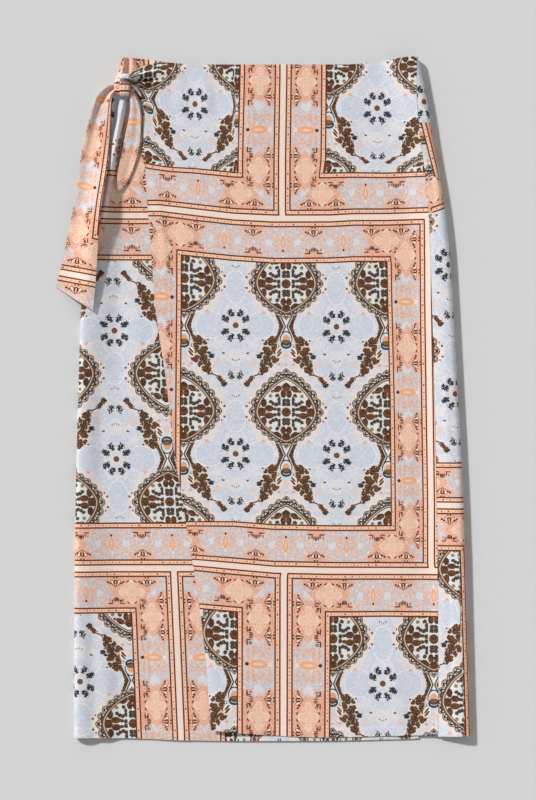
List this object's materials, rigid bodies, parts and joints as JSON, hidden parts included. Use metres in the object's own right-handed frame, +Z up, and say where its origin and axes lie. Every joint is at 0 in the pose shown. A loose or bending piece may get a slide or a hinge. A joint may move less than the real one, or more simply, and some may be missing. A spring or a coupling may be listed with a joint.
{
  "type": "wrap skirt",
  "caption": "Midi wrap skirt laid out flat, with an over front panel drawn into a side knot, hanging tie tails and a traditional tile print.",
  "frame": {"origin": "centre of the laid-out skirt's outline, on the surface that it lies on", "axes": "+Y toward the waist, +X toward the side seam that shows, +Z up out of the front"},
  "size_m": [0.497, 0.819, 0.0203],
  "materials": {
    "printed_viscose": "matte plain-woven viscose, printed light blue, peach, cream and dark brown"
  },
  "bodies": {
    "root": {"back_panel": "printed_viscose", "under_front_panel": "printed_viscose", "over_front_panel": "printed_viscose", "tie_knot": "printed_viscose", "tie_tail_long": "printed_viscose", "tie_tail_short": "printed_viscose"}
  },
  "joints": []
}
